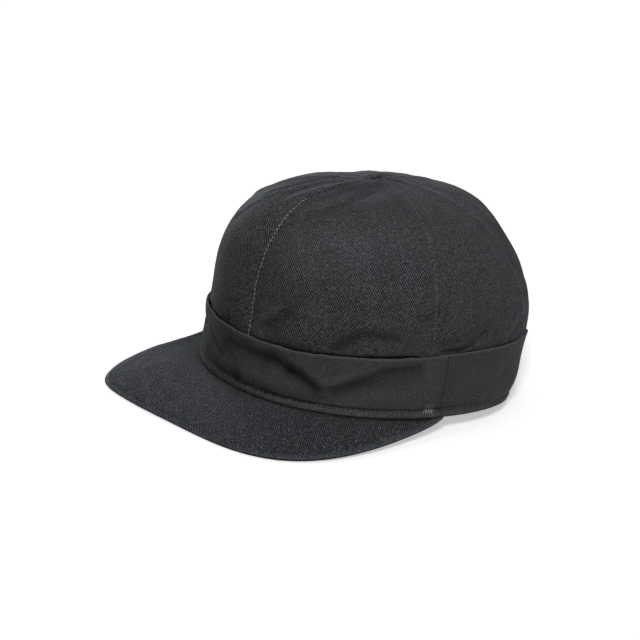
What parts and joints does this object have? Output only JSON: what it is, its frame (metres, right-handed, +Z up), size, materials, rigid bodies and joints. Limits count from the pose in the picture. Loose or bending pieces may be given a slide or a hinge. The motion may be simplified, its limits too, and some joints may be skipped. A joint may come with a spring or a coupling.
{
  "type": "work cap",
  "caption": "Soft twill work cap: a rounded crown of sewn panels, a doubled cloth band round its lower edge and a stiff cloth-covered peak that shades the eyes.",
  "frame": {"origin": "under the middle of the cap's length and width, on the surface that it rests on", "axes": "-Y towards the peak, +X towards the wearer's left, +Z up"},
  "size_m": [0.1826, 0.2702, 0.1294],
  "materials": {
    "crown_twill": "matt cotton twill, dark grey",
    "band_twill": "matt cotton twill, dark grey",
    "peak_twill": "matt cotton twill, dark blue-grey",
    "lining_twill": "matt cotton cloth, near black",
    "binding_twill": "matt cotton twill cut on the bias, blue-grey"
  },
  "bodies": {
    "root": {"crown_front_left": "crown_twill", "crown_front_right": "crown_twill", "crown_side_left": "crown_twill", "crown_side_right": "crown_twill", "crown_back_left": "crown_twill", "crown_back_right": "crown_twill", "band_front": "band_twill", "band_back": "band_twill", "peak_cover": "peak_twill", "peak_lining": "lining_twill", "peak_binding": "binding_twill"}
  },
  "joints": []
}
